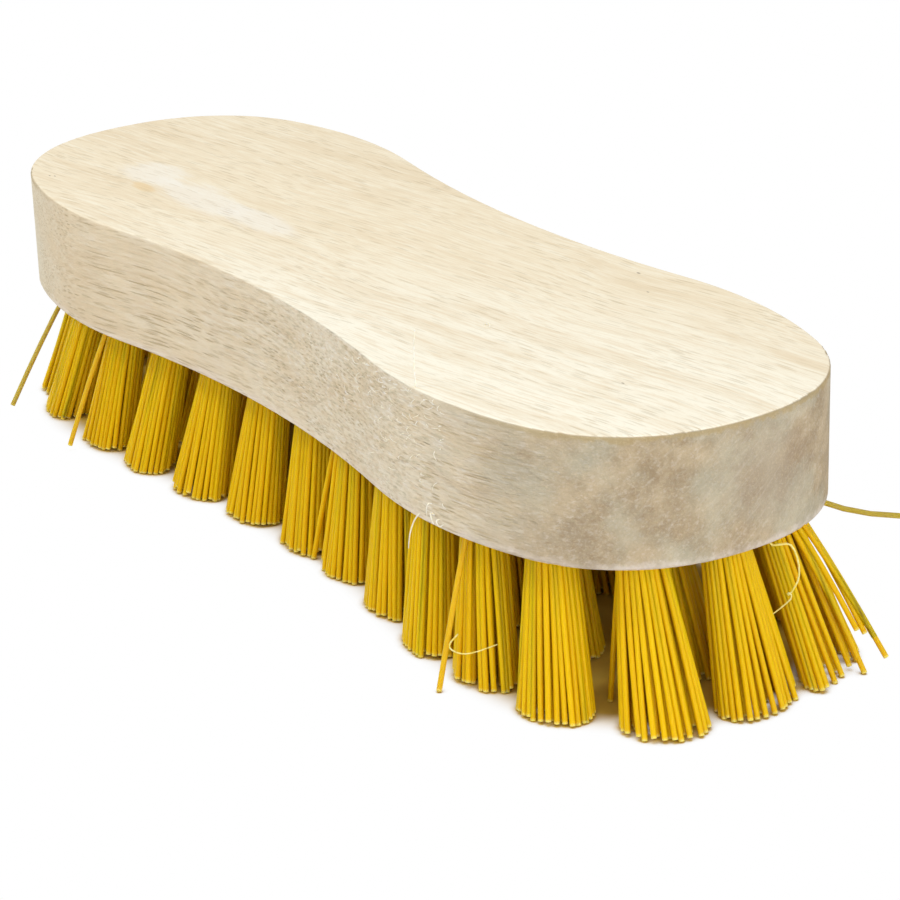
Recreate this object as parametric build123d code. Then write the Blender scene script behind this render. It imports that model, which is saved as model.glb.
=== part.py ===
"""Scrub brush: a waisted wooden block with 45 tufts of stiff yellow filament.

Each tuft is a bundle of filaments folded in half, pushed fold first into a leaning blind hole
and held there by a wire staple, whose legs are driven into the wood past the bottom of the hole.

Millimetres, +Z up, +X along the block. The brush stands on its bristles: the origin is on the
plane of their cut ends, under the middle of the block.
"""
from build123d import *
from math import atan2, degrees, hypot, sqrt
import os

# Block
length = 180.0
width = 60.5
waist_depth = 4.75
block_thickness = 20.0
edge_rounding = 0.5

# Arcs of the block's outline: both ends, the corners beside them, the lobes and the waist.
# A corner's radius is half the width less its relief.
nose_radius = 42.5
corner_relief = 4.75
lobe_radius = 66.0
lobe_to_end = 39.0

# Holes: a pair inside the rim's row stands off the middle line by a share of the row's own distance
hole_diameter = 6.2
hole_depth = 12.5
rim_margin = 9.2
rim_tufts = 28
rim_shift = 2.2
pair_share = 0.38
end_spacing = 13.0
inner_stations = 5
paired_stations = (2, 3, 4)

# Bristles: a tuft's tips stand further out than its hole, by a share of the hole's place
bristle_length = 24.0
fan_x_share = 0.105
fan_y_share = 0.26
tuft_tip_diameter = 11.4
trim_depth = 0.5

# Root of a tuft, packed into its hole
root_clearance = 0.1
root_recess = 1.5

# Strands: one in the middle and a ring round it, as shares of the tuft's radius at each end
ring_strands = 9
strand_bury = 3.5
root_ring_share = 0.63
root_side_share = 0.32
tip_ring_share = 0.8
tip_side_share = 0.4

# Staples
staple_wire = 1.0
staple_span = 3.6
staple_bend = 1.0
staple_clearance = 0.05
fold_height = 2.2
wood_over_staple = 2.5

# Overrun of a cutter past the face that it opens
overrun = 3.0

corner_radius = width / 2 - corner_relief
block_bottom = bristle_length
root_radius = hole_diameter / 2 - root_clearance
tip_radius = tuft_tip_diameter / 2
staple_reach = block_thickness - wood_over_staple
staple_crown_depth = hole_depth - fold_height


def quarter_arcs(inset):
    """Four tangent arcs from the outline's +X end to its +Y waist, drawn in by an inset."""
    nose = (length / 2 - nose_radius, 0)
    lobe = (length / 2 - lobe_to_end, width / 2 - lobe_radius)

    # The corner's centre is where circles about the other two centres meet
    to_nose = nose_radius - corner_radius
    to_lobe = lobe_radius - corner_radius
    across = (lobe[0] - nose[0], lobe[1] - nose[1])
    apart = hypot(*across)
    along = (to_nose**2 - to_lobe**2 + apart**2) / (2 * apart)
    aside = sqrt(to_nose**2 - along**2)
    corner = (
        nose[0] + (along * across[0] - aside * across[1]) / apart,
        nose[1] + (along * across[1] + aside * across[0]) / apart,
    )

    # The waist's centre is on the Y axis, and its arc touches the lobe's from outside
    half_waist = width / 2 - waist_depth
    rise = lobe[1] - half_waist
    waist_radius = (lobe[0] ** 2 + rise**2 - lobe_radius**2) / (2 * (lobe_radius + rise))
    waist = (0, half_waist + waist_radius)

    def heading(start, end):
        return degrees(atan2(end[1] - start[1], end[0] - start[0]))

    nose_end = heading(nose, corner)
    corner_end = heading(lobe, corner)
    lobe_end = heading(lobe, waist)
    return [
        CenterArc(nose, nose_radius - inset, 0, nose_end),
        CenterArc(corner, corner_radius - inset, nose_end, corner_end - nose_end),
        CenterArc(lobe, lobe_radius - inset, corner_end, lobe_end - corner_end),
        CenterArc(waist, waist_radius + inset, lobe_end + 180, 90 - lobe_end),
    ]


def rim_points():
    """Places of the rim's holes, evenly spaced counter-clockwise from beside the -Y waist."""
    path = Wire(quarter_arcs(rim_margin))
    quarter = path.length
    places = []
    for number in range(rim_tufts):
        distance = 3 * quarter + rim_shift + 4 * quarter * number / rim_tufts
        lap, rest = divmod(distance, quarter)
        lap = int(lap) % 4
        point = path.position_at(quarter - rest if lap % 2 else rest, PositionMode.LENGTH)
        x_sign = 1 if lap in (0, 3) else -1
        y_sign = 1 if lap in (0, 1) else -1
        places.append((x_sign * point.X, y_sign * point.Y))
    return places


def inner_points():
    """Places of the holes inside the rim: pairs in each lobe, single ones at waist and ends."""
    station = (length / 2 - rim_margin - end_spacing) / inner_stations
    aside = pair_share * (width / 2 - rim_margin)
    places = []
    for number in range(-inner_stations, inner_stations + 1):
        if abs(number) in paired_stations:
            places.append((number * station, -aside))
            places.append((number * station, aside))
        else:
            places.append((number * station, 0))
    return places


def tuft_line(place, height):
    """The point on a tuft's middle line at a height above the bristle tips."""
    out = 1 - height / bristle_length
    return Vector(place[0] * (1 + fan_x_share * out), place[1] * (1 + fan_y_share * out), height)


def hole_frame(place):
    """A frame at the middle of a hole's mouth, with Z up the hole into the wood."""
    mouth = tuft_line(place, block_bottom)
    up = (mouth - tuft_line(place, 0)).normalized()
    return Plane(mouth, x_dir=Vector(0, 1, 0).cross(up), z_dir=up)


def rod(radius, start, end, x=0):
    """A round bar along a hole's Z from one depth to another."""
    return Pos(x, 0, start) * Cylinder(radius, end - start, align=(Align.CENTER, Align.CENTER, Align.MIN))


def staple_form(wire, reach):
    """A staple in its hole's frame: the crown lies across the fold, the legs point up."""
    side = staple_span / 2
    path = FilletPolyline(
        (-side, 0, reach),
        (-side, 0, staple_crown_depth),
        (side, 0, staple_crown_depth),
        (side, 0, reach),
        radius=staple_bend,
    )
    return sweep(Plane(path @ 0, z_dir=path % 0) * Circle(wire / 2), path=path)


def make_block(places):
    """The wooden block, with a leaning blind hole for each tuft and two leg holes past it."""
    quarter = Curve() + quarter_arcs(0)
    half = quarter + mirror(quarter, about=Plane.XZ)
    outline = half + mirror(half, about=Plane.YZ)
    block = extrude(Pos(0, 0, block_bottom) * make_face(outline.edges()), block_thickness, dir=(0, 0, 1))
    rims = block.faces().sort_by(Axis.Z)[0].edges() + block.faces().sort_by(Axis.Z)[-1].edges()
    block = fillet(rims, edge_rounding)

    leg_hole = staple_wire / 2 + staple_clearance
    cutters = []
    for place in places:
        frame = hole_frame(place)
        cutters.append(frame * rod(hole_diameter / 2, -overrun, hole_depth))
        for x in (-staple_span / 2, staple_span / 2):
            leg = rod(leg_hole, staple_crown_depth, staple_reach + staple_clearance, x)
            cutters.append(frame * leg)
    return block - cutters


def make_strand(place, angle, root_ring, tip_ring):
    """One lock of filaments: flat-sided and straight, from a small square to a larger one."""
    heights = (-trim_depth, block_bottom + strand_bury)
    rings = (tip_ring, root_ring)
    sides = (tip_radius * tip_side_share, root_radius * root_side_share)
    low, high = (
        [
            tuft_line(place, height) + Vector(ring + x * side / 2, y * side / 2).rotate(Axis.Z, angle)
            for x, y in ((-1, -1), (1, -1), (1, 1), (-1, 1))
        ]
        for height, ring, side in zip(heights, rings, sides)
    )
    walls = [(low[n - 1], low[n], high[n], high[n - 1]) for n in range(len(low))]
    return Solid(Shell([Face(Wire.make_polygon(corners)) for corners in (low, high, *walls)]))


def make_tuft(place, staple_channel):
    """A tuft: its packed root, with a channel for the staple, and the locks that fan from it."""
    root = rod(root_radius, root_recess, hole_depth) - staple_channel
    root_ring = root_radius * root_ring_share
    tip_ring = tip_radius * tip_ring_share
    outward = degrees(atan2(place[1], place[0]))
    strands = [make_strand(place, outward, 0, 0)]
    for number in range(ring_strands):
        angle = outward + 360 * number / ring_strands
        strands.append(make_strand(place, angle, root_ring, tip_ring))
    tuft = hole_frame(place) * root + strands
    return split(tuft, Plane.XY, keep=Keep.TOP)


os.makedirs("parts", exist_ok=True)
rim = rim_points()
inner = inner_points()
places = rim + inner

export_step(make_block(places), "parts/block.step")

staple = staple_form(staple_wire, staple_reach)
staples = Compound(children=[hole_frame(place) * staple for place in places])
export_step(staples, "parts/staples.step")

channel = staple_form(staple_wire + 2 * staple_clearance, staple_reach)
for name, group in (("rim_tuft", rim), ("inner_tuft", inner)):
    for number, place in enumerate(group, start=1):
        export_step(make_tuft(place, channel), f"parts/{name}_{number:02d}.step")

print(len(rim), "tufts round the rim and", len(inner), "inside it")
print((1 + ring_strands) * len(places), "strands in all")
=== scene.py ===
# %% [markdown]
# # A wooden scrub brush
#
# A block of pale hardwood carries 45 tufts of stiff yellow filament, each pushed into its own
# drilled hole. The block, its holes and the staples inside come from the frame at their real
# sizes. This lesson adds what a working drawing leaves out: the finish of the wood, every single
# filament, and the few that have gone astray.

import math

import bpy
import numpy as np
from mathutils import Matrix, Vector


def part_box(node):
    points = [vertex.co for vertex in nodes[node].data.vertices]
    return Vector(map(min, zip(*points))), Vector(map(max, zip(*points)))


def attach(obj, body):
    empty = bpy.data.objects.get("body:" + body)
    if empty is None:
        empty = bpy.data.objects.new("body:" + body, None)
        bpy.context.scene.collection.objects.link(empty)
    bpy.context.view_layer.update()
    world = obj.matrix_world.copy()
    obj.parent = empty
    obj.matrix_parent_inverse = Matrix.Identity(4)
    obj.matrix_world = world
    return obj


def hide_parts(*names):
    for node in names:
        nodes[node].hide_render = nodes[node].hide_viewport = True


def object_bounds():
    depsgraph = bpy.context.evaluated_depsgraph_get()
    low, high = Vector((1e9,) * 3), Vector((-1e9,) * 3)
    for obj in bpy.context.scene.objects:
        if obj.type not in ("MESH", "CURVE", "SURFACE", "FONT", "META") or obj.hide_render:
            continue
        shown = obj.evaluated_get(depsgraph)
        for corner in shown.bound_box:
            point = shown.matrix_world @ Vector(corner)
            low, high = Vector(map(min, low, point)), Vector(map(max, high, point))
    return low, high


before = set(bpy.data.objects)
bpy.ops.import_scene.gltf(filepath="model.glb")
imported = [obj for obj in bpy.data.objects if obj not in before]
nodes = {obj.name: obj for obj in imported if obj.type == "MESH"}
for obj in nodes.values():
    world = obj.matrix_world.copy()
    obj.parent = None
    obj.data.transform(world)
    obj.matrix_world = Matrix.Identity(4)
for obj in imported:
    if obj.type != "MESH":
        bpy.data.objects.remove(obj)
cad_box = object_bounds()
mm = 0.001
cad_sides = [round(side / mm, 1) for side in cad_box[1] - cad_box[0]]
print(len(nodes), "nodes, over all", cad_sides, "mm")

# %% [markdown]
# ## Camera
#
# The photograph looks down on one rounded end from about half a metre away, with the long side
# running off to the left. The place, the direction and the lens were fitted to the outline of the
# block, so they are plain numbers here: where the camera stands, which way it looks, and a slight
# roll to the left.

# %% Set the camera
camera_place = Vector((389.8, -248.2, 200.9)) * mm
camera_azimuth = math.radians(56.47)
camera_elevation = math.radians(22.5)
camera_roll = math.radians(-1.77)
camera_lens = 122.6

bpy.ops.object.camera_add(location=camera_place)
camera = bpy.context.object
camera.data.lens = camera_lens
heading = Matrix.Rotation(camera_azimuth, 4, "Z")
tilt = Matrix.Rotation(math.pi / 2 - camera_elevation, 4, "X")
camera.rotation_euler = (heading @ tilt @ Matrix.Rotation(camera_roll, 4, "Z")).to_euler()
bpy.context.scene.camera = camera
print("camera", round(camera_place.length / mm), "mm from the point under the middle of the block")

# %% [markdown]
# ## Building shader nodes with less typing
#
# Each finish below is a small network of nodes. Adding one node takes a line to make it, a line
# for each choice and a line for each link, so one helper does all three: a value that is another
# node's socket is linked, and anything else is typed into the socket. The other helpers name the
# steps that every finish repeats: a sum, a product, a soft step, and one colour laid over another.

# %% Helpers for nodes
def put(tree, kind, inputs=None, **choices):
    """Adds a shader node with its choices made and its inputs typed in or linked."""
    node = tree.nodes.new("ShaderNode" + kind)
    for name, value in choices.items():
        setattr(node, name, value)
    for name, value in (inputs or {}).items():
        if isinstance(value, bpy.types.NodeSocket):
            tree.links.new(value, node.inputs[name])
        else:
            node.inputs[name].default_value = value
    return node


def calculate(tree, operation, first, second=0.0):
    """One sum on numbers that change over the surface."""
    return put(tree, "Math", {0: first, 1: second}, operation=operation).outputs[0]


def times(tree, first, *others):
    """The product of two numbers or more."""
    for other in others:
        first = calculate(tree, "MULTIPLY", first, other)
    return first


def combine(tree, operation, first, second):
    """One sum on two vectors."""
    return put(tree, "VectorMath", {0: first, 1: second}, operation=operation).outputs[0]


def length_of(tree, vector):
    """How long a vector is."""
    return put(tree, "VectorMath", {0: vector}, operation="LENGTH").outputs["Value"]


def split(tree, vector):
    """The three numbers of a vector."""
    return put(tree, "SeparateXYZ", {0: vector}).outputs


def fade(tree, value, start, end, low=0.0, high=1.0):
    """Turns a number into a soft step from low to high between two limits."""
    limits = {"Value": value, "From Min": start, "From Max": end, "To Min": low, "To Max": high}
    return put(tree, "MapRange", limits, interpolation_type="SMOOTHSTEP").outputs[0]


def tint(tree, under, over, *shares, blend="MIX"):
    """Lays one colour over another, as strongly as the product of the shares."""
    # A Mix node has its two colours in sockets 6 and 7, and the mixed colour in output 2
    inputs = {0: times(tree, *shares), 6: under, 7: over}
    return put(tree, "Mix", inputs, data_type="RGBA", blend_type=blend).outputs[2]


# %% Helpers to start a material
def start_material(name):
    """A new material with its node tree and its Principled BSDF."""
    material = bpy.data.materials.new(name)
    material.use_nodes = True
    return material, material.node_tree, material.node_tree.nodes["Principled BSDF"]


def object_place(tree):
    """The place on the object in millimetres."""
    metres = put(tree, "TexCoord").outputs["Object"]
    return put(tree, "VectorMath", {0: metres, "Scale": 1 / mm}, operation="SCALE").outputs[0]


# %% [markdown]
# ## Two patterns that run with the grain
#
# Wood, drawn plastic and drawn wire share one habit: their marks are long one way and narrow the
# other two. Two groups hold that habit. "clouds" is soft noise stretched along X. "dashes"
# scatters short separate strokes, one to a stretched Voronoi cell, and keeps only a share of them.
# The wood, the loose fibres and the steel of the staples use them, each with its own sizes.

# %% Groups for stretched clouds and dashes
def start_group(name, inputs, output):
    """A new node group with number inputs after one vector, and one number out."""
    group = bpy.data.node_groups.new(name, "ShaderNodeTree")
    group.interface.new_socket("Vector", in_out="INPUT", socket_type="NodeSocketVector")
    for socket, value in inputs.items():
        made = group.interface.new_socket(socket, in_out="INPUT", socket_type="NodeSocketFloat")
        made.default_value = value
    group.interface.new_socket(output, in_out="OUTPUT", socket_type="NodeSocketFloat")
    start, end = group.nodes.new("NodeGroupInput"), group.nodes.new("NodeGroupOutput")
    return group, start.outputs, end.inputs


def stretched(tree, vector, length, width):
    """Divides X by a length and the other two axes by a width."""
    axes = split(tree, vector)
    shares = [calculate(tree, "DIVIDE", axes[0], length)]
    shares += [calculate(tree, "DIVIDE", axis, width) for axis in axes[1:3]]
    return put(tree, "CombineXYZ", dict(enumerate(shares))).outputs[0]


cloud_roughness = 0.6
stroke_blur = 0.2

sizes = {"Length": 30.0, "Width": 5.0, "Detail": 3.0}
clouds, given, result = start_group("clouds", sizes, "Value")
place = stretched(clouds, given["Vector"], given["Length"], given["Width"])
settings = {"Vector": place, "Scale": 1.0, "Detail": given["Detail"], "Roughness": cloud_roughness}
clouds.links.new(put(clouds, "TexNoise", settings).outputs[0], result["Value"])

sizes = {"Length": 5.0, "Width": 0.7, "Share": 0.4, "Fill": 0.4}
dashes, given, result = start_group("dashes", sizes, "Mask")
place = stretched(dashes, given["Vector"], given["Length"], given["Width"])
cells = put(dashes, "TexVoronoi", {"Vector": place, "Scale": 1.0, "Randomness": 1.0})
stroke = calculate(dashes, "SUBTRACT", given["Fill"], cells.outputs["Distance"])
luck = split(dashes, cells.outputs["Color"])[0]
kept = calculate(dashes, "LESS_THAN", luck, given["Share"])
strength = times(dashes, fade(dashes, stroke, 0.0, stroke_blur), kept)
dashes.links.new(strength, result["Mask"])


def grain(tree, group, vector, **sizes):
    """Places one of the two grain groups in a material, with sizes in millimetres."""
    node = put(tree, "Group", node_tree=group)
    tree.links.new(vector, node.inputs["Vector"])
    for name, value in sizes.items():
        node.inputs[name.capitalize()].default_value = value
    return node.outputs[0]


print("node groups", [group.name for group in bpy.data.node_groups])

# %% [markdown]
# ## The wood: which way it grew, and which face is which
#
# The block is bare rubberwood: cream on the sanded top, greyer and darker on the sawn sides,
# partly in their own colour and partly as painted shade, with short brown pores along its length.
# A solid
# pattern on Object coordinates is used and no UV map, because real grain runs through the block:
# the same pores show as dashes on the top and sides and as dots on the two rounded ends. The grain
# runs nearly along X, turned and bent a little as in any plank.
# Place also tells the faces apart: the sawn sides lie between the two edges, and the end grain is
# the part of them that is far out along the block.

# %% Directions and masks of the wood, in millimetres
top_height = cad_box[1].z / mm
bottom_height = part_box("block")[0].z / mm
block_middle = (top_height + bottom_height) / 2
block_half = top_height - block_middle
grain_swing = math.radians(9.0)
grain_rise = math.radians(2.5)
grain_wander = (0.0, 4.5, 2.5)
wander_scale = 0.03
side_starts = (0.05, 0.3)
end_grain_starts = (50.0, 84.0)
near_end_starts = (-60.0, 40.0)

wood, tree, surface = start_material("bare_rubberwood")
on_block = object_place(tree)
turn = {"Vector": on_block, "Rotation": (0.0, grain_rise, -grain_swing)}
turned = put(tree, "Mapping", turn).outputs[0]
bend = {"Vector": on_block, "Scale": wander_scale, "Detail": 1.0}
wander = combine(tree, "MULTIPLY", put(tree, "TexNoise", bend).outputs[1], grain_wander)
along = combine(tree, "ADD", turned, wander)

block_axes = split(tree, on_block)
block_x, block_z = block_axes[0], block_axes[2]
from_middle = calculate(tree, "ABSOLUTE", calculate(tree, "SUBTRACT", block_z, block_middle))
upright = fade(tree, from_middle, *(block_half - start for start in side_starts))
end_on = times(tree, fade(tree, calculate(tree, "ABSOLUTE", block_x), *end_grain_starts), upright)
near_end = times(tree, end_on, fade(tree, block_x, *near_end_starts))
far_end = times(tree, end_on, fade(tree, block_x, *reversed(near_end_starts)))
print("the block's sides run from", round(bottom_height, 1), "to", round(top_height, 1), "mm")

# %% [markdown]
# ## The colour of the plank
#
# Rubberwood has no sharp rings. Its colour comes from a slow change from one side of the plank to
# the other, from broad tan bands, and from fine tan and pale hairs. The bands and hairs are clouds
# stretched along the grain. A soft step on a cloud says where its colour lies: the cloud level at
# which it starts, the level at which it is full, and how strong it is there.

# %% Bands and hairs of the plank
sapwood = (0.99, 0.94, 0.78, 1.0)
cream = (0.91, 0.80, 0.59, 1.0)
tan = (0.80, 0.65, 0.43, 1.0)
pale_slant = 0.3
pale_starts = (-10.0, 34.0)

bands = grain(tree, clouds, along, length=70.0, width=6.0, detail=3.0)
hairs = grain(tree, clouds, along, length=13.0, width=0.5, detail=4.0)

# The sapwood side of the plank is paler: it lies towards -Y and the near end
plank = split(tree, along)
pale_side = calculate(tree, "SUBTRACT", times(tree, plank[0], pale_slant), plank[1])
colour = tint(tree, cream, sapwood, fade(tree, pale_side, *pale_starts))
colour = tint(tree, colour, tan, fade(tree, bands, 0.42, 0.75, high=0.6))
colour = tint(tree, colour, tan, fade(tree, hairs, 0.45, 0.7, high=0.55))
colour = tint(tree, colour, sapwood, fade(tree, hairs, 0.5, 0.3, high=0.5))
print("the plank goes from cream to sapwood over", pale_starts[1] - pale_starts[0], "mm")

# %% [markdown]
# ## Filler and a knot on the top
#
# Chalky filler was wiped over the top near the far end, and a small knot shows beside it. Both are
# spots at known places. A spot is a distance from its middle, squashed by its radii, and a cloud
# is added to that distance, which makes the rim ragged as a wiped or grown edge is.

# %% Spots of chalk and a knot
chalk = (0.94, 0.90, 0.80, 1.0)
knot_tan = (0.84, 0.63, 0.34, 1.0)
chalk_lobes = ((-60.5, -9.0, 7.5, 4.2), (-44.0, -9.8, 12.5, 4.4), (-27.0, -8.6, 9.0, 3.4))
chalk_depth = 3.0
chalk_strength = 0.62
knot_place = (-54.9, -14.3, top_height)
knot_radii = (3.38, 1.3, 1.3)
knot_strength = 0.7
ragged_reach = 0.55
wisp_share = 0.55


def spot(center, radii, ragged, rim=0.35):
    """A soft ragged spot on the block: 1 inside, 0 outside, with a rim that follows a cloud."""
    shift = combine(tree, "SUBTRACT", on_block, center)
    squash = combine(tree, "MULTIPLY", shift, [1 / radius for radius in radii])
    distance = calculate(tree, "ADD", length_of(tree, squash), ragged)
    return fade(tree, distance, 1.0 + rim, 1.0 - rim)


ragged = grain(tree, clouds, on_block, length=9.0, width=1.6, detail=4.0)
ragged = fade(tree, ragged, 0.2, 0.8, -ragged_reach, ragged_reach)
wisps = times(tree, ragged, wisp_share)
for x, y, length, width in chalk_lobes:
    wiped = spot((x, y, top_height), (length, width, chalk_depth), wisps)
    colour = tint(tree, colour, chalk, wiped, chalk_strength)
colour = tint(tree, colour, knot_tan, spot(knot_place, knot_radii, wisps), knot_strength)
print(len(chalk_lobes), "spots of chalk and one knot")

# %% [markdown]
# ## The sawn sides
#
# The sides of such a block are left as sawn. They are greyer and darker than the top, partly in
# their own colour and partly as painted shade, mottled, and fuzzy where the saw ran against the
# grain and tore it. The near end is darker still, partly for its open end grain and partly as
# painted shade, with cool patches, one brown bruise and faint slanting belt scratches, and the far
# end is greener in its own colour and paler as painted light where the lamp falls on it. The
# colours are laid one over another, as a painter glazes: grey multiplies what is under it, and the
# rest covers it by the share that its mask gives.

# %% Grey, mottled and torn sides
sawn_grey_and_shade = (0.82, 0.775, 0.735, 1.0)
end_grain_and_shade = (0.44, 0.38, 0.31, 1.0)
far_sage_and_light = (0.78, 0.78, 0.66, 1.0)
fuzz_olive = (0.52, 0.46, 0.30, 1.0)
fuzz_white = (0.88, 0.84, 0.76, 1.0)
far_sage_and_light_strength = 0.6
torn_place = (34.0, -29.0, 37.0)
torn_radii = (32.0, 14.0, 12.0)
torn_fuzz = 0.6
sawn_fuzz = 0.3

# Painted shade: the sawn sides are made darker than the top, partly their own grey
colour = tint(tree, colour, sawn_grey_and_shade, upright, blend="MULTIPLY")
# Painted shade: the near end is darker still, partly its open end grain
colour = tint(tree, colour, end_grain_and_shade, near_end, blend="MULTIPLY")
# Painted light: the far end is paler where the lamp falls on it, and greener in its own colour
colour = tint(tree, colour, far_sage_and_light, far_end, far_sage_and_light_strength)
mottle = grain(tree, clouds, on_block, length=7.0, width=5.0, detail=4.0)
colour = tint(tree, colour, tan, fade(tree, mottle, 0.3, 0.75, high=0.45), upright)

torn = times(tree, spot(torn_place, torn_radii, ragged, rim=0.6), upright)
fuzzy = calculate(tree, "ADD", times(tree, torn, torn_fuzz), times(tree, upright, sawn_fuzz))
fleck = grain(tree, clouds, along, length=3.5, width=0.6, detail=3.0)
colour = tint(tree, colour, fuzz_olive, fade(tree, fleck, 0.5, 0.7, high=0.6), fuzzy)
colour = tint(tree, colour, fuzz_white, fade(tree, fleck, 0.48, 0.3, high=0.6), fuzzy)
print("the torn stretch is", 2 * torn_radii[0], "mm long")

# %% Patches, a bruise and scratches on the end grain
sage = (0.53, 0.53, 0.42, 1.0)
bruise = (0.36, 0.27, 0.19, 1.0)
bruise_place = (89.0, 4.0, 35.0)
bruise_radii = (9.0, 7.0, 6.5)
bruise_strength = 0.5
scratch_slant = math.radians(-40.0)

patches = grain(tree, clouds, on_block, length=14.0, width=11.0, detail=2.0)
colour = tint(tree, colour, sage, fade(tree, patches, 0.42, 0.62, high=0.4), near_end)
bruised = spot(bruise_place, bruise_radii, ragged, rim=0.7)
colour = tint(tree, colour, bruise, bruised, end_on, bruise_strength)

# The scratches run across the end, so the axes are turned, and Y takes the place of X
slant = {"Vector": on_block, "Rotation": (scratch_slant, 0.0, 0.0)}
slanted = split(tree, put(tree, "Mapping", slant).outputs[0])
slanted = put(tree, "CombineXYZ", {0: slanted[1], 1: slanted[2], 2: slanted[0]}).outputs[0]
scratches = grain(tree, clouds, slanted, length=6.0, width=0.4, detail=3.0)
colour = tint(tree, colour, fuzz_white, fade(tree, scratches, 0.5, 0.7, high=0.1), end_on)
print("the bruise is", 2 * bruise_radii[1], "mm wide")

# %% [markdown]
# ## Edges, pores and specks
#
# The lower edge is rubbed paler, as handling wears it, and under the top one a thin brown line
# runs across the end grain. The pores come after them, because they are open in every face:
# crowded in some streaks and rare in others, longer on the sawn sides and few on the ends. Five
# specks on the top are single dots of dirt.

# %% Rubbed and brown-lined edges
worn_pink = (0.84, 0.76, 0.72, 1.0)
pore_brown = (0.44, 0.33, 0.16, 1.0)
rubbed_starts = (bottom_height + 1.6, bottom_height + 0.4)
dark_line_starts = (top_height - 1.2, top_height - 0.5)

level = calculate(tree, "ADD", block_z, ragged)
rubbed = fade(tree, mottle, 0.35, 0.6, low=0.15, high=0.45)
colour = tint(tree, colour, worn_pink, fade(tree, level, *rubbed_starts), rubbed, upright)
# A thin brown line just under the top edge, on the end grain
colour = tint(tree, colour, pore_brown, fade(tree, level, *dark_line_starts, high=0.75), end_on)
print("the scorched line starts", round(top_height - dark_line_starts[0], 1), "mm under the top")

# %% Pores and specks
speck_brown = (0.20, 0.14, 0.09, 1.0)
speck_strength = 0.7
specks = (
    (-71.2, -23.9, 0.14),
    (-70.4, -23.3, 0.14),
    (33.0, 24.2, 0.2),
    (40.8, 20.0, 0.13),
    (68.8, -6.0, 0.15),
)

fine_pores = grain(tree, dashes, along, length=6.0, width=0.5, share=0.75, fill=0.42)
sawn_pores = grain(tree, dashes, along, length=12.0, width=0.42, share=0.55, fill=0.4)
fine_pores = times(tree, fine_pores, fade(tree, upright, 0.0, 1.0, low=0.5, high=0.55))
pores = calculate(tree, "MAXIMUM", fine_pores, times(tree, sawn_pores, upright))
crowd = grain(tree, clouds, along, length=30.0, width=6.0, detail=2.0)
crowd = fade(tree, crowd, 0.35, 0.62, low=0.35)
pores = times(tree, pores, crowd, fade(tree, end_on, 0.3, 1.0, low=1.0, high=0.3))
pore_depth = fade(tree, upright, 0.0, 1.0, low=0.6, high=0.62)
colour = tint(tree, colour, pore_brown, pores, pore_depth)
for x, y, radius in specks:
    speck = spot((x, y, top_height), (radius * 2, radius, radius), 0.0, rim=0.4)
    colour = tint(tree, colour, speck_brown, speck, speck_strength)
print(len(specks), "specks on the top")

# %% [markdown]
# ## How the wood feels
#
# Pores are open, torn grain stands proud, and a fine nap covers every sawn face. The three heights
# are added up in millimetres and given to one Bump node, which is enough for marks as shallow as
# these. The sanded top is smoother than the sides, but bare wood is matt all over.

# %% Nap, bump and roughness
nap_strength = 0.2
top_nap, side_nap = 0.04, 0.16
torn_rise = 0.5
pore_sink = 0.08
top_roughness, side_roughness = 0.55, 0.8

nap = grain(tree, clouds, on_block, length=1.2, width=0.35, detail=3.0)
colour = tint(tree, colour, tan, fade(tree, nap, 0.5, 0.7, high=nap_strength))
nap_height = times(tree, nap, fade(tree, upright, 0.0, 1.0, top_nap, side_nap))
height = calculate(tree, "SUBTRACT", nap_height, times(tree, pores, pore_sink))
height = calculate(tree, "ADD", height, times(tree, fleck, torn, torn_rise))
bump = put(tree, "Bump", {"Height": height, "Distance": mm})
roughness = fade(tree, upright, 0.0, 1.0, top_roughness, side_roughness)
tree.links.new(colour, surface.inputs["Base Color"])
tree.links.new(roughness, surface.inputs["Roughness"])
tree.links.new(bump.outputs[0], surface.inputs["Normal"])
surface.inputs["Specular IOR Level"].default_value = 0.3

block = nodes["block"]
block.material_slots[0].material = wood
print("the block carries", wood.name, "with", len(tree.nodes), "nodes")

# %% [markdown]
# ## The steel inside
#
# The staples are sealed in the wood and show only when the brush is cut open. They keep the
# frame's solids and get the finish of drawn wire: bright metal, with the drawing marks as thin
# dark lines and a little dullness in patches where the wire has tarnished.

# %% The steel's material
bright_steel = (0.62, 0.61, 0.59, 1.0)
dull_steel = (0.42, 0.40, 0.37, 1.0)
die_mark_strength = 0.5

steel, tree, surface = start_material("drawn_steel")
on_wire = object_place(tree)
tarnish = grain(tree, clouds, on_wire, length=3.0, width=2.0, detail=3.0)
die_marks = grain(tree, dashes, on_wire, length=6.0, width=0.25, share=0.5, fill=0.4)
die_marks = times(tree, die_marks, die_mark_strength)
dulled = calculate(tree, "MAXIMUM", fade(tree, tarnish, 0.4, 0.7), die_marks)
tree.links.new(tint(tree, bright_steel, dull_steel, dulled), surface.inputs["Base Color"])
roughness = fade(tree, tarnish, 0.3, 0.7, low=0.28, high=0.5)
tree.links.new(roughness, surface.inputs["Roughness"])
surface.inputs["Metallic"].default_value = 1.0
nodes["staples"].material_slots[0].material = steel
print("the staples carry", steel.name)

# %% [markdown]
# ## One filament
#
# A filament is a drawn plastic rod 0.85 mm thick, sheared off square. It is repeated more than two
# thousand times, so it has few faces: an eight-sided cylinder, cut into rings so that it can bend,
# with its sheared end drawn in and pushed out a little to catch the light as the real one does.

# %% Helpers for modelling
def select_only(*pieces):
    """Deselects everything, then selects these pieces and makes the first one active."""
    bpy.ops.object.select_all(action="DESELECT")
    for piece in pieces:
        piece.select_set(True)
    bpy.context.view_layer.objects.active = pieces[0]


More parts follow.
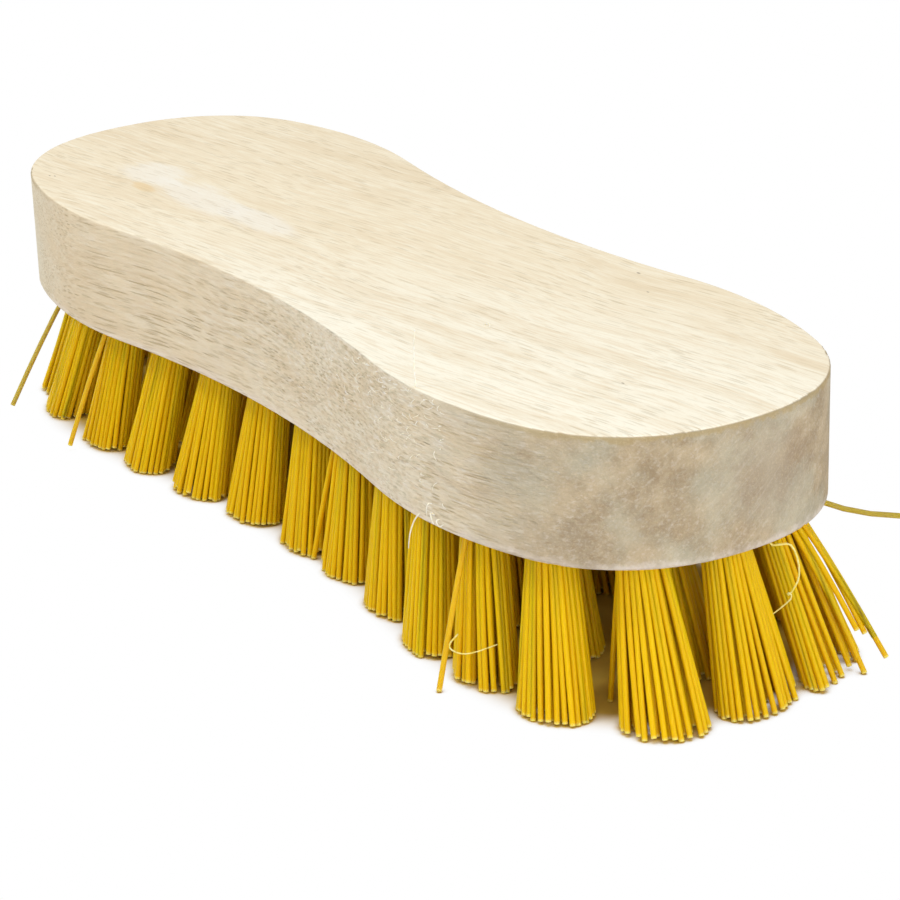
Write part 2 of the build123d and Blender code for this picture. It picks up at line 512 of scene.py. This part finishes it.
def edit(piece, kind, wanted):
    """Opens a piece in edit mode with only those faces or edges selected that pass a test."""
    select_only(piece)
    bpy.ops.object.mode_set(mode="EDIT")
    bpy.ops.mesh.select_mode(type=kind)
    bpy.ops.mesh.select_all(action="DESELECT")
    bpy.ops.object.mode_set(mode="OBJECT")
    for part in piece.data.polygons if kind == "FACE" else piece.data.edges:
        part.select = wanted(part)
    bpy.ops.object.mode_set(mode="EDIT")


def model_rod(radius, length, sides, rings):
    """An upright rod on the origin, cut into rings so that it can bend."""
    bpy.ops.object.select_all(action="DESELECT")
    bpy.ops.mesh.primitive_cylinder_add(
        vertices=sides,
        radius=radius,
        depth=length,
        end_fill_type="NGON",
        location=(0, 0, length / 2),
    )
    rod = bpy.context.object
    bpy.ops.object.transform_apply(location=True)

    def runs_along(edge):
        ends = [rod.data.vertices[index].co.z for index in edge.vertices]
        return abs(ends[0] - ends[1]) > length / 2

    edit(rod, "EDGE", runs_along)
    bpy.ops.mesh.subdivide(number_cuts=rings - 1)
    bpy.ops.object.mode_set(mode="OBJECT")
    return rod


def copy_of(piece, name):
    """A copy of a piece with a mesh of its own."""
    twin = piece.copy()
    twin.data = piece.data.copy()
    twin.name = twin.data.name = name
    bpy.context.scene.collection.objects.link(twin)
    return twin


# %% Model the filament
filament_radius = 0.425 * mm
filament_sides = 8
filament_rings = 6
stock_length = 28 * mm
end_inset = 0.12 * mm
end_crown = 0.05 * mm
crisp_angle = math.radians(50)
facing_down = -0.9

filament = model_rod(filament_radius, stock_length, filament_sides, filament_rings)
edit(filament, "FACE", lambda face: face.normal.z < facing_down)
bpy.ops.mesh.inset(thickness=end_inset)
bpy.ops.transform.translate(value=(0, 0, -end_crown))
bpy.ops.object.mode_set(mode="OBJECT")
bpy.ops.object.shade_smooth_by_angle(angle=crisp_angle)
print("a filament has", len(filament.data.polygons), "faces")

# %% [markdown]
# ## A straight bundle
#
# Twenty-four filaments folded in half fill each hole, which gives a tuft 48 ends. They are counted
# off in three rings, one inside another. The bundle is joined once and straight, and every
# filament keeps its number as an attribute of its points, so that a copy of the bundle can be
# fanned out filament by filament.

# %% Bundle 48 filaments
ring_counts = (5, 13, 30)
ends_per_tuft = sum(ring_counts)

bundle_parts = []
for number in range(ends_per_tuft):
    part = copy_of(filament, "bundle")
    numbers = part.data.attributes.new("number", "INT", "POINT")
    numbers.data.foreach_set("value", [number] * len(part.data.vertices))
    bundle_parts.append(part)
select_only(*bundle_parts)
bpy.ops.object.join()
bundle = bpy.context.object
print("a bundle has", ends_per_tuft, "filaments and", len(bundle.data.polygons), "faces")

# %% [markdown]
# ## The filament's plastic
#
# Drawn polypropylene is glossy along its length, lets a little light through, and takes a
# saturated yellow that turns amber where light has bounced among many filaments. That amber needs
# no paint: it comes from the bounces. The material adds what they don't: filaments differ a little
# in tone, the sheared ends get a painted highlight, and a stray that stands alone is painted
# khaki, a painted light for what would pass through it. All three are read from attributes that
# each filament's points will carry: "tone", "reach" from the root to the cut end, and "alone".

# %% The plastic's material
yellow = (0.86, 0.53, 0.003, 1.0)
deep_yellow = (0.77, 0.45, 0.002, 1.0)
highlight_yellow = (0.95, 0.76, 0.22, 1.0)
backlit_khaki = (0.50, 0.39, 0.07, 1.0)
highlight_starts = (0.985, 1.0)
backlit_starts = (0.1, 0.3)

plastic, tree, surface = start_material("drawn_yellow_plastic")
tone = put(tree, "Attribute", attribute_name="tone").outputs["Fac"]
reach = put(tree, "Attribute", attribute_name="reach").outputs["Fac"]
alone = put(tree, "Attribute", attribute_name="alone").outputs["Fac"]
colour = tint(tree, deep_yellow, yellow, tone)
# Painted highlight: the last sliver of each filament, at its cut end, is painted paler
colour = tint(tree, colour, highlight_yellow, fade(tree, reach, *highlight_starts, high=0.8))
# Painted light: a stray that stands clear is painted khaki for the light that would pass through
# it
colour = tint(tree, colour, backlit_khaki, alone, fade(tree, reach, *backlit_starts))
tree.links.new(colour, surface.inputs["Base Color"])
surface.inputs["Roughness"].default_value = 0.4
surface.inputs["Specular IOR Level"].default_value = 0.12
surface.inputs["Subsurface Weight"].default_value = 0.7
surface.inputs["Subsurface Radius"].default_value = (1.0, 0.85, 0.1)
surface.inputs["Subsurface Scale"].default_value = 1.2 * mm
bundle.data.materials.append(plastic)
print("the bundle carries", plastic.name)

# %% [markdown]
# ## Finding each tuft in the frame
#
# Every tuft leans outwards by its own amount, and the frame already holds that lean: the cut ends
# of a tuft's solid lie round its foot, and its root lies round the bottom of its hole. The line
# between the two passes the hole's mouth at the underside of the block.

# %% Read a tuft's middle line
trim_band = 1 * mm
crown_height = 34 * mm
block_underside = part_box("block")[0].z


def points_of(mesh):
    """The places of a mesh's points, one row each."""
    flat = np.empty(3 * len(mesh.vertices))
    mesh.vertices.foreach_get("co", flat)
    return flat.reshape(-1, 3)


def tuft_line(node):
    """The middle of a tuft's hole at its mouth, and the middle of its cut ends."""
    points = points_of(nodes[node].data)
    low = points[points[:, 2] < trim_band]
    high = points[points[:, 2] > crown_height]
    foot = (low.min(axis=0) + low.max(axis=0)) / 2
    crown = (high.min(axis=0) + high.max(axis=0)) / 2
    rise = (block_underside - foot[2]) / (crown[2] - foot[2])
    return foot + (crown - foot) * rise, foot


tufts = sorted(name for name in nodes if "tuft" in name)
print(len(tufts), "tufts, the first from", *[np.round(end / mm, 1) for end in tuft_line(tufts[0])])

# %% [markdown]
# ## Fanning a tuft out
#
# A filament's line is a quadratic curve through three places: its root inside the hole, a bend
# under the mouth that keeps it in line with the hole at first, and its cut end near the floor. The
# ring it stands in gives the distance from the middle, tight at the root and wide at the end.
# Small seeded differences in place, length and tone keep the rows from looking stamped.

# %% Lines of a tuft's filaments
root_spread = 2.6 * mm
bury = 3 * mm
bend_share = 0.4
bow = 0.25 * mm
ring_shares = (0.3, 0.68, 1.0)
place_scatter = 0.18 * mm
length_scatter = 0.35 * mm
twist_scatter = math.radians(9)
chance = np.random.default_rng(7)


def ring_places():
    """Unit places of the filaments round the middle of a tuft, ring by ring."""
    places = []
    for count, share in zip(ring_counts, ring_shares):
        start = chance.uniform(0, math.tau)
        for step in range(count):
            angle = start + math.tau * step / count
            places.append((share * math.cos(angle), share * math.sin(angle), 0.0))
    return np.array(places)


def fan_lines(mouth, foot, heading, lean, spread):
    """Root, bend and tip of each filament of a tuft, spread along its row and across it."""
    unit = ring_places()
    row = np.array(Matrix.Rotation(heading + chance.normal(0, twist_scatter), 3, "Z"))
    down = (foot - mouth) / np.linalg.norm(foot - mouth)
    roots = mouth - down * bury + unit @ row.T * root_spread
    tips = foot + lean + unit * (*spread, 0.0) @ row.T
    tips += chance.normal(0, place_scatter, (ends_per_tuft, 3))
    tips[:, 2] = end_crown + np.abs(chance.normal(0, length_scatter, ends_per_tuft))
    bends = roots + (tips - roots) * bend_share + chance.normal(0, bow, (ends_per_tuft, 3))
    return roots, bends, tips


# %% Lay a bundle's filaments along their lines
tone_spread = (2.5, 2.0)


def lay_filaments(piece, roots, bends, tips, clear):
    """Moves every point of a straight bundle to its place along its filament's curve."""
    points = points_of(piece.data)
    number = np.empty(len(points), int)
    piece.data.attributes["number"].data.foreach_get("value", number)
    share = 1 - points[:, 2:] / stock_length
    root, bend, tip = roots[number], bends[number], tips[number]
    line = (1 - share) ** 2 * root + 2 * share * (1 - share) * bend + share**2 * tip
    ahead = (1 - share) * (bend - root) + share * (tip - bend)
    ahead /= np.linalg.norm(ahead, axis=1, keepdims=True)
    side = np.array((1.0, 0.0, 0.0)) - ahead[:, :1] * ahead
    side /= np.linalg.norm(side, axis=1, keepdims=True)
    placed = line + side * points[:, :1] + np.cross(side, ahead) * points[:, 1:2]
    piece.data.vertices.foreach_set("co", placed.ravel())
    tones = chance.beta(*tone_spread, ends_per_tuft)
    looks = {"reach": share.ravel(), "tone": tones[number], "alone": clear[number]}
    for name, values in looks.items():
        attribute = piece.data.attributes.new(name, "FLOAT", "POINT")
        attribute.data.foreach_set("value", values)
    piece.data.update()


# %% [markdown]
# ## Tufts as the photograph shows them
#
# On a used or roughly trimmed brush no two tufts match. The tables below give, in millimetres at
# the floor, how far a tuft leans from its own line, by how much it is wider than the others along
# its row and across it, and where single filaments have strayed. A stray keeps its root in its
# hole: of the filaments in the outer ring, the one nearest its side is sent there. The fourth
# number of a stray says how clear of the others it stands, and so how strongly it is painted
# khaki, a painted light for what would pass through it.

# %% Lean, spread and strays
leans = {
    "rim_tuft_24": (-2.4, 1.8),
    "rim_tuft_25": (1.0, 2.0),
    "rim_tuft_26": (-0.4, 0.8),
    "rim_tuft_27": (1.3, -0.5),
    "rim_tuft_28": (0.9, 0.0),
    "rim_tuft_01": (1.1, 0.5),
    "rim_tuft_02": (-0.1, 0.9),
    "rim_tuft_03": (0.5, 0.8),
    "rim_tuft_04": (-0.2, 0.8),
    "rim_tuft_05": (-0.7, 1.6),
    "rim_tuft_07": (1.7, -0.5),
    "rim_tuft_08": (0.6, -1.3),
    "rim_tuft_09": (4.4, -1.1),
}
widths = {
    "rim_tuft_07": (1.1, 1.15),
    "rim_tuft_08": (1.28, 1.2),
    "rim_tuft_09": (1.45, 1.03),
}
strays = {
    "rim_tuft_23": [(-71.2, -34.7, 4.0, 1.0)],
    "rim_tuft_25": [(-55.0, -32.1, 1.0, 0.3)],
    "rim_tuft_02": [(9.4, -22.6, 0.2, 0.0)],
    "rim_tuft_05": [(59.8, -32.7, 0.2, 0.2)],
    "rim_tuft_07": [(77.2, -15.0, 0.2, 0.0), (90.2, -8.0, 0.4, 0.2)],
    "rim_tuft_09": [
        (93.2, 22.8, 2.0, 0.1),
        (92.4, 19.4, 0.2, 0.1),
        (94.4, 29.3, 23.1, 1.0),
        (91.4, 22.0, 4.8, 0.0),
        (90.6, 20.9, 5.4, 0.0),
        (90.0, 19.9, 6.0, 0.0),
        (89.4, 18.9, 5.2, 0.0),
    ],
}
stray_lift = 2 * mm
stray_ceiling = block_underside - 8 * filament_radius


def send_astray(node, roots, bends, tips):
    """Bends some filaments of a tuft to where its strays end, and tells how clear each stands."""
    clear = np.zeros(ends_per_tuft)
    mouth = roots.mean(axis=0)
    free = list(range(ends_per_tuft - ring_counts[-1], ends_per_tuft))
    for *place, clearness in strays.get(node, ()):
        goal = np.array(place) * mm
        best = max(free, key=lambda number: (roots[number] - mouth) @ (goal - mouth))
        free.remove(best)
        clear[best] = clearness
        tips[best] = goal
        bends[best] = roots[best] + (goal - roots[best]) * bend_share
        bends[best][2] = min(bends[best][2] + stray_lift, stray_ceiling)
    return clear


print(sum(len(places) for places in strays.values()), "filaments have strayed")

# %% Stand every tuft in its hole
rim = [node for node in tufts if node.startswith("rim")]
rim_spread = (5.5 * mm, 3.7 * mm)
inner_spread = (5.3 * mm, 5.3 * mm)


def row_heading(node):
    """The direction of a tuft's row: round the rim, or along the brush inside it."""
    if node not in rim:
        return 0.0
    number = rim.index(node)
    before = tuft_line(rim[number - 1])[0]
    after = tuft_line(rim[(number + 1) % len(rim)])[0]
    return math.atan2(after[1] - before[1], after[0] - before[0])


for node in tufts:
    mouth, foot = tuft_line(node)
    lean = np.array((*leans.get(node, (0.0, 0.0)), 0.0)) * mm
    spread = np.multiply(rim_spread if node in rim else inner_spread, widths.get(node, (1.0, 1.0)))
    lines = fan_lines(mouth, foot, row_heading(node), lean, spread)
    clear = send_astray(node, *lines)
    piece = copy_of(bundle, node.replace("tuft", "bristles"))
    lay_filaments(piece, *lines, clear)
    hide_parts(node)
    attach(piece, "root")
for stock in (filament, bundle):
    bpy.data.objects.remove(stock)
print(len(tufts) * ends_per_tuft, "filaments stand in", len(tufts), "tufts")

# %% [markdown]
# ## Loose fibres
#
# The saw has torn the long side, so short pale curls of wood stand out there, one fibre stands up
# from the top edge, and a few hang from the lower edge. Two hair-thin shreds of plastic are caught
# in the tufts. Each is a thin capped tube. A straight one is modelled once, and its rings are then
# moved along a line of places, whose corners are cut a few times to make it run smoothly.

# %% Model a straight fibre of unit size
fibre_sides = 6
fibre_rings = 24

fibre = model_rod(1.0, 1.0, fibre_sides, fibre_rings)
bpy.ops.object.shade_smooth_by_angle(angle=crisp_angle)
print("a fibre has", len(fibre.data.polygons), "faces")

# %% Lay a fibre along a line of places
corner_cuts = 4
cut_share = 0.25
fibre_taper = 0.5
across_fibres = (0.83, -0.55, 0.1)


def smooth_line(places):
    """Cuts the corners of a line of places a few times."""
    line = np.array(places, float)
    for _ in range(corner_cuts):
        early = line[:-1] * (1 - cut_share) + line[1:] * cut_share
        late = line[:-1] * cut_share + line[1:] * (1 - cut_share)
        line = np.vstack([line[:1], np.stack([early, late], 1).reshape(-1, 3), line[-1:]])
    return line


def along_line(share, values):
    """The values of a line at each point's share of its length."""
    steps = np.linspace(0, 1, len(values))
    return np.stack([np.interp(share, steps, values[:, axis]) for axis in range(3)], 1)


def lay_fibre(name, places, thickness, finish):
    """A copy of the straight fibre, laid along a smoothed line and drawn thin to its free end."""
    line = smooth_line(places) * mm
    piece = copy_of(fibre, name)
    points = points_of(piece.data)
    share = points[:, 2]
    ahead = along_line(share, np.gradient(line, axis=0))
    ahead /= np.linalg.norm(ahead, axis=1, keepdims=True)
    side = np.cross(ahead, np.array(across_fibres))
    side /= np.linalg.norm(side, axis=1, keepdims=True)
    radius = thickness / 2 * mm * (1 - fibre_taper * share[:, None] ** 2)
    round_line = side * points[:, :1] + np.cross(ahead, side) * points[:, 1:2]
    placed = along_line(share, line) + radius * round_line
    piece.data.vertices.foreach_set("co", placed.ravel())
    piece.data.update()
    piece.data.materials.append(finish)
    return piece


# %% The fibres' two materials
def fibre_finish(name, pale, dark):
    """A matt finish for hair-thin fibres, streaked with two colours, that lets light through."""
    finish, tree, surface = start_material(name)
    streak = grain(tree, clouds, object_place(tree), length=2.5, width=0.6, detail=2.0)
    colour = tint(tree, pale, dark, fade(tree, streak, 0.35, 0.65))
    tree.links.new(colour, surface.inputs["Base Color"])
    surface.inputs["Roughness"].default_value = 0.7
    surface.inputs["Specular IOR Level"].default_value = 0.2
    surface.inputs["Subsurface Weight"].default_value = 0.8
    surface.inputs["Subsurface Radius"].default_value = (1.0, 0.9, 0.6)
    surface.inputs["Subsurface Scale"].default_value = 0.5 * mm
    return finish


pale_fluff, dark_fluff = (0.95, 0.91, 0.76, 1.0), (0.84, 0.76, 0.56, 1.0)
pale_shred, dark_shred = (0.96, 0.84, 0.36, 1.0), (0.88, 0.70, 0.16, 1.0)
wood_fluff = fibre_finish("torn_wood_fibre", pale_fluff, dark_fluff)
plastic_fluff = fibre_finish("shredded_plastic", pale_shred, dark_shred)
print("fibres carry", wood_fluff.name, "or", plastic_fluff.name)

# %% Lay the fibres that the photograph shows
wood_fibres = {
    "standing": (
        0.26,
        ((51.8, -29.7, 43.3), (51.8, -29.8, 46.0), (51.7, -29.8, 49.0), (51.9, -29.6, 52.6)),
    ),
    "hanging_1": (
        0.16,
        ((55.6, -29.9, 27.4), (55.3, -30.6, 27.6), (55.1, -30.8, 26.6), (55.6, -31.0, 25.6)),
    ),
    "hanging_2": (
        0.26,
        ((56.0, -29.8, 25.6), (56.1, -30.8, 26.6), (57.0, -31.3, 26.3), (57.2, -31.0, 25.1)),
    ),
    "hanging_3": (
        0.22,
        ((57.0, -29.7, 25.4), (57.6, -30.9, 25.8), (58.6, -31.0, 25.0), (59.2, -30.6, 25.6)),
    ),
    "hanging_4": (
        0.24,
        ((52.6, -29.9, 25.2), (52.0, -30.9, 24.0), (50.9, -31.1, 21.1), (50.4, -31.0, 18.9)),
    ),
    "curl_on_top": (
        0.2,
        ((37.0, -7.8, 43.9), (37.4, -7.4, 44.3), (38.1, -7.3, 44.4), (38.5, -7.8, 43.9)),
    ),
}
plastic_shreds = {
    "shred_1": (
        0.32,
        (
            (84.6, 6.2, 24.2),
            (86.3, 6.5, 21.4),
            (87.5, 8.4, 22.1),
            (88.1, 9.2, 21.6),
            (88.6, 9.8, 19.6),
            (88.7, 10.1, 16.9),
            (88.3, 9.6, 15.2),
            (87.7, 8.8, 13.6),
            (87.8, 8.5, 14.6),
            (88.3, 9.4, 13.7),
            (87.4, 8.1, 12.2),
            (86.5, 6.9, 10.9),
            (85.5, 6.0, 10.0),
        ),
    ),
    "shred_2": (
        0.25,
        (
            (59.5, -29.0, 8.0),
            (60.9, -31.6, 7.7),
            (62.3, -31.9, 7.3),
            (64.2, -30.6, 7.0),
            (65.8, -26.4, 8.1),
        ),
    ),
}
for name, (thickness, places) in {**wood_fibres, **plastic_shreds}.items():
    wooden = name in wood_fibres
    piece = lay_fibre(name, places, thickness, wood_fluff if wooden else plastic_fluff)
    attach(piece, "root")
print(len(wood_fibres), "wood fibres and", len(plastic_shreds), "shreds of plastic")

# %% [markdown]
# ## Curls on the torn side
#
# There are too many short curls on the torn side to place by hand, so they are scattered with a
# seed round the middle of the tear. A ray from outside finds the wood at each place. A curl starts
# just under the surface, runs a millimetre or so along it, turns, and stands off it by its own
# heights. All of them are joined into one piece.

# %% Scatter the curls, in millimetres
curl_count = 80
curl_thickness = 0.11
curl_x, curl_x_scatter, curl_x_end = 46.0, 9.0, 58.0
curl_z, curl_z_scatter, curl_z_ends = 38.5, 4.0, (25.0, 43.2)
curl_reach_x, curl_reach_z = 1.4, 1.0
curl_turn = 0.9
curl_root = -0.2
curl_heights = ((0.15, 0.5), (0.2, 0.6), (0.0, 0.4))
curl_steps = (0.0, 0.3, 0.8, 1.0)
ray_start_y = -60.0
curl_chance = np.random.default_rng(3)

curls = []
for number in range(curl_count):
    x = min(curl_chance.normal(curl_x, curl_x_scatter), curl_x_end)
    z = np.clip(curl_chance.normal(curl_z, curl_z_scatter), *curl_z_ends)
    ray_start = Vector((x, ray_start_y, z)) * mm
    hit, place, outward, _ = block.ray_cast(ray_start, Vector((0.0, 1.0, 0.0)))
    if not hit:
        continue
    place, outward = np.array(place) / mm, np.array(outward)
    run_x, run_z = (curl_chance.uniform(-end, end) for end in (curl_reach_x, curl_reach_z))
    run = np.array((run_x, 0.0, run_z))
    turn = np.array((-run_z, 0.0, run_x)) * curl_chance.uniform(-curl_turn, curl_turn)
    heights = (curl_root, *(curl_chance.uniform(*limits) for limits in curl_heights))
    line = [
        place + run * step + turn * step**2 + outward * height
        for step, height in zip(curl_steps, heights)
    ]
    curls.append(lay_fibre("torn_fibres", line, curl_thickness, wood_fluff))
select_only(*curls)
bpy.ops.object.join()
torn_fibres = bpy.context.object
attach(torn_fibres, "root")
bpy.data.objects.remove(fibre)
print(len(curls), "curls stand on the torn side")

# %% [markdown]
# ## Light and background
#
# A product photograph has soft light from all round and more of it from above. The world gives
# that, weak at the horizon and stronger overhead. A small lamp high on the left gives the top its
# direction, and a large low one on the right fills the rounded end. The background is pure white,
# but light from a white world as strong as that would wash the shadow out, so only rays that come
# straight from the camera, off a gloss or through glass see it white.

# %% World
backdrop_white = (1.0, 1.0, 1.0, 1.0)
horizon_strength = 0.22
zenith_strength = 0.74
zenith_starts = 0.6


def seen_directly(tree):
    """1 for rays from the camera, off a gloss or through glass, and 0 for light on its way."""
    ray = put(tree, "LightPath").outputs
    direct = calculate(tree, "MAXIMUM", ray["Is Camera Ray"], ray["Is Glossy Ray"])
    return calculate(tree, "MAXIMUM", direct, ray["Is Transmission Ray"])


world = bpy.data.worlds.new("studio")
bpy.context.scene.world = world
world.use_nodes = True
tree = world.node_tree
overhead = split(tree, put(tree, "TexCoord").outputs["Generated"])[2]
sky_strength = fade(tree, overhead, 0.0, zenith_starts, horizon_strength, zenith_strength)
soft_sky = tree.nodes["Background"]
soft_sky.inputs["Color"].default_value = backdrop_white
tree.links.new(sky_strength, soft_sky.inputs["Strength"])
white_sky = put(tree, "Background", {"Color": backdrop_white, "Strength": 1.0})
shares = {0: seen_directly(tree), 1: soft_sky.outputs[0], 2: white_sky.outputs[0]}
sky = put(tree, "MixShader", shares)
tree.links.new(sky.outputs[0], tree.nodes["World Output"].inputs["Surface"])
print("the world's strength goes from", horizon_strength, "to", zenith_strength)

# %% Two lamps that face the brush
lamps = {
    "key_lamp": {"place": (-173, -429, 552), "size": 0.15, "power": 1.4},
    "fill_lamp": {"place": (560, -80, 190), "size": 0.5, "power": 1.6},
}
for name, facts in lamps.items():
    place = Vector(facts["place"]) * mm
    bpy.ops.object.light_add(type="AREA", location=place)
    lamp = bpy.context.object
    lamp.name = name
    lamp.data.size = facts["size"]
    lamp.data.energy = facts["power"]
    lamp.rotation_euler = (-place).to_track_quat("-Z", "Y").to_euler()
    print(name, round(place.length / mm), "mm away")

# %% [markdown]
# ## Floor
#
# The brush stands on pale paint. Between the tufts the paint is painted amber, a painted shade for
# the shade there and the yellow light bounced among the filaments, and so it is close to any cut
# end, a painted contact shadow where an Ambient Occlusion node finds something near. Past the line
# of the tips it turns to plain white for the camera, so that the floor ends nowhere. Seen from
# below it is clear, for a look at the cut ends.

# %% Lay the floor
floor_size = 4.0
pale = (0.86, 0.86, 0.86, 1.0)
painted_amber_shade = (0.60, 0.42, 0.06, 1.0)
tips_edge = 30.6 * mm
tips_straight = 63.6 * mm
shadow_fade = 7.2 * mm
waist_depth = 5.5 * mm
waist_starts = (10 * mm, 57 * mm)
contact_reach = 2.5 * mm
contact_starts = (0.5, 0.9)
contact_samples = 16

bpy.ops.mesh.primitive_plane_add(size=floor_size, location=(0, 0, 0))
floor = bpy.context.object
floor.name = "floor"
paint, tree, surface = start_material("white_floor")

# The line of the tips is straight along the brush, round at its ends and drawn in at the waist
floor_axes = split(tree, put(tree, "TexCoord").outputs["Object"])
floor_x = calculate(tree, "ABSOLUTE", floor_axes[0])
past = calculate(tree, "MAXIMUM", calculate(tree, "SUBTRACT", floor_x, tips_straight), 0.0)
distance = length_of(tree, put(tree, "CombineXYZ", {0: past, 1: floor_axes[1]}).outputs[0])
waist = fade(tree, floor_x, *waist_starts, low=waist_depth, high=0.0)
distance = calculate(tree, "ADD", distance, waist)

# Painted contact shadow: the paint turns amber where the Ambient Occlusion node finds a cut end
# near
nearby = put(tree, "AmbientOcclusion", {"Distance": contact_reach}, samples=contact_samples)
clear_floor = fade(tree, nearby.outputs["AO"], *contact_starts)
open_floor = times(tree, fade(tree, distance, tips_edge - shadow_fade, tips_edge), clear_floor)
# Painted shade: inside the line of the tips the paint is amber
tree.links.new(tint(tree, painted_amber_shade, pale, open_floor), surface.inputs["Base Color"])
surface.inputs["Roughness"].default_value = 0.9

white = put(tree, "Emission", {"Color": backdrop_white, "Strength": 1.0})
white_share = times(tree, open_floor, seen_directly(tree))
above = put(tree, "MixShader", {0: white_share, 1: surface.outputs[0], 2: white.outputs[0]})
backfacing = put(tree, "NewGeometry").outputs["Backfacing"]
clear = put(tree, "BsdfTransparent")
look = put(tree, "MixShader", {0: backfacing, 1: above.outputs[0], 2: clear.outputs[0]})
tree.links.new(look.outputs[0], tree.nodes["Material Output"].inputs["Surface"])
floor.data.materials.append(paint)
bpy.context.scene.view_settings.view_transform = "Standard"
print("the floor turns white", round(tips_edge / mm, 1), "mm from the middle line")
